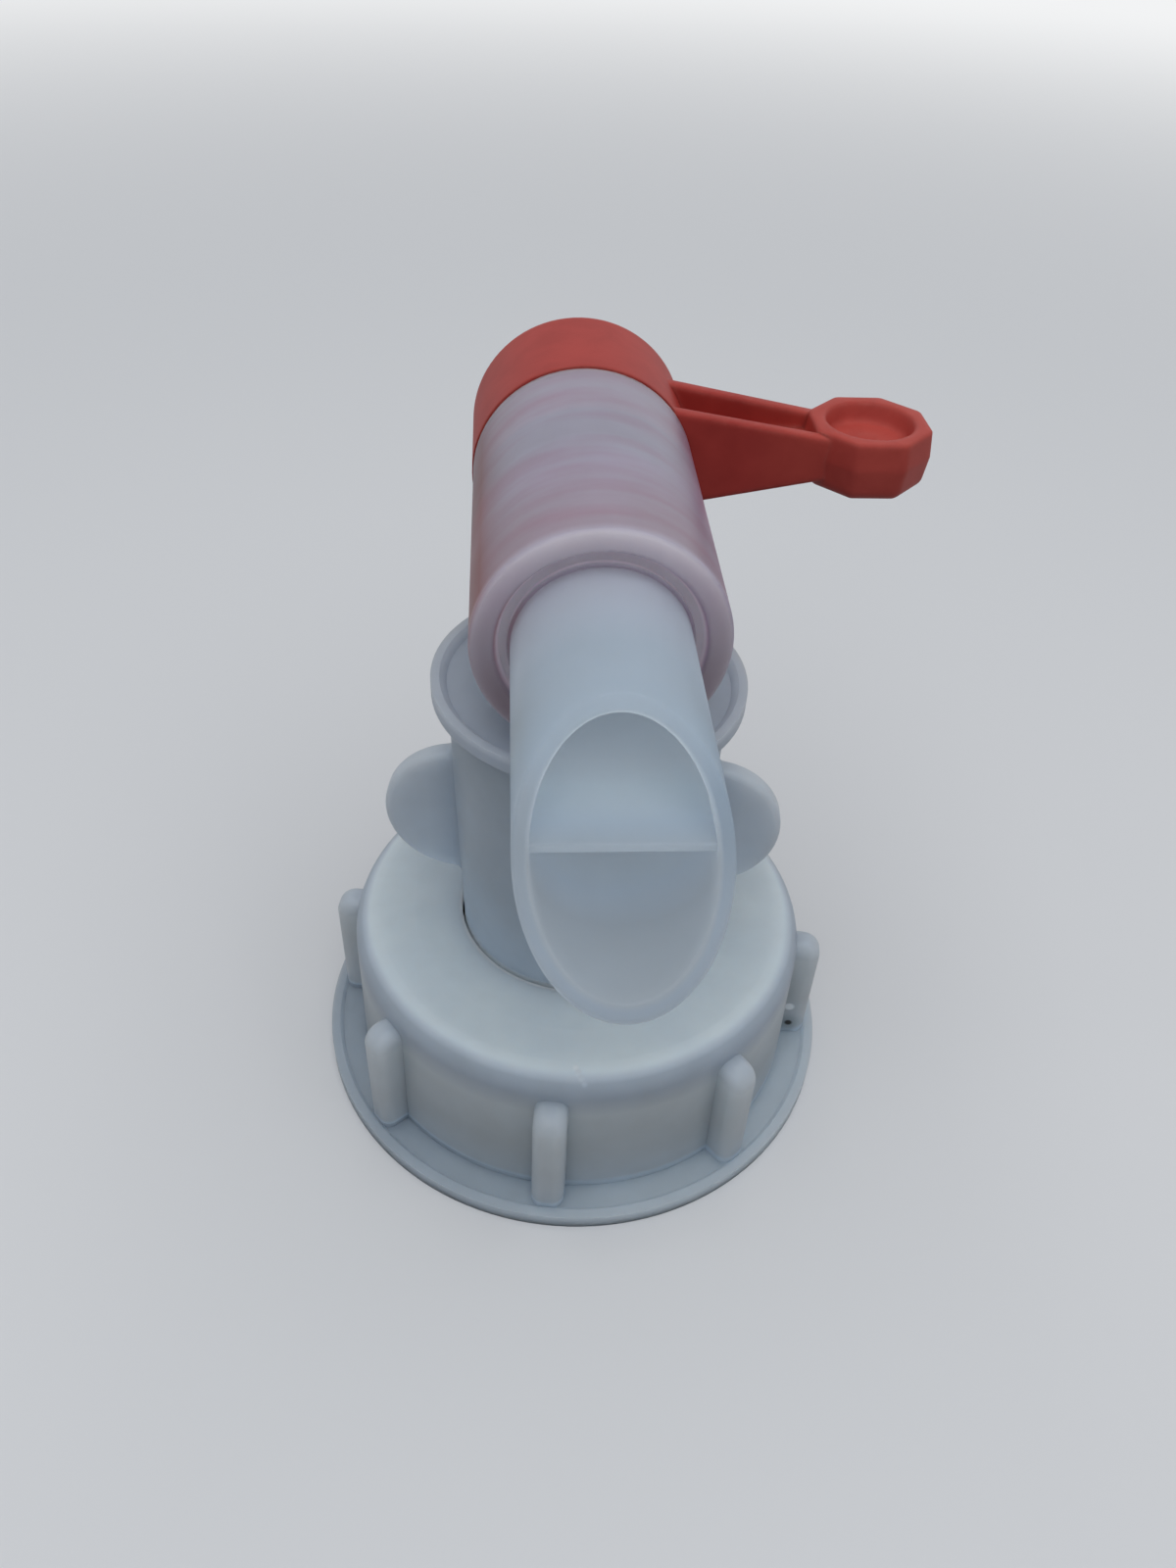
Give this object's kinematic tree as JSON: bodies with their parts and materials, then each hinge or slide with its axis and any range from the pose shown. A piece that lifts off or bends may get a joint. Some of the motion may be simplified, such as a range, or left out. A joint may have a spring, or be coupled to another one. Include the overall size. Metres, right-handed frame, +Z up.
{
  "type": "jerrycan tap",
  "caption": "Plastic jerrycan tap: ribbed screw cap, swivelling moulded body with round ears, barrel and slanted divided spout, and a lever plug that opens with a quarter turn.",
  "frame": {"origin": "on the screw cap's axis, at its open end, in the plane of the flange's underside", "axes": "+Z up the stem, away from the jerrycan; the barrel runs along Y with the spout towards -Y; the closed lever points along +X"},
  "size_m": [0.0872, 0.1028, 0.0955],
  "materials": {
    "cap_polyethylene": "moulded, satin",
    "body_polyethylene": "moulded, natural, slightly translucent",
    "red_polypropylene": "moulded, satin",
    "washer_rubber": "matt",
    "seal_rubber": "matt"
  },
  "bodies": {
    "cap": {"screw_cap": "cap_polyethylene", "sealing_washer": "washer_rubber"},
    "tap": {"tap_body": "body_polyethylene"},
    "handle": {"plug_handle": "red_polypropylene", "plug_seal_front": "seal_rubber", "plug_seal_back": "seal_rubber"}
  },
  "joints": [
    {"name": "cap_swivel", "type": "hinge", "parent": "cap", "child": "tap", "pos_m": [0, 0, 0.0255], "axis": [0, 0, 1], "continuous": true},
    {"name": "handle_turn", "type": "hinge", "parent": "tap", "child": "handle", "pos_m": [0, 0.0267, 0.08035], "axis": [0, -1, 0], "range_deg": [0, 90]}
  ]
}
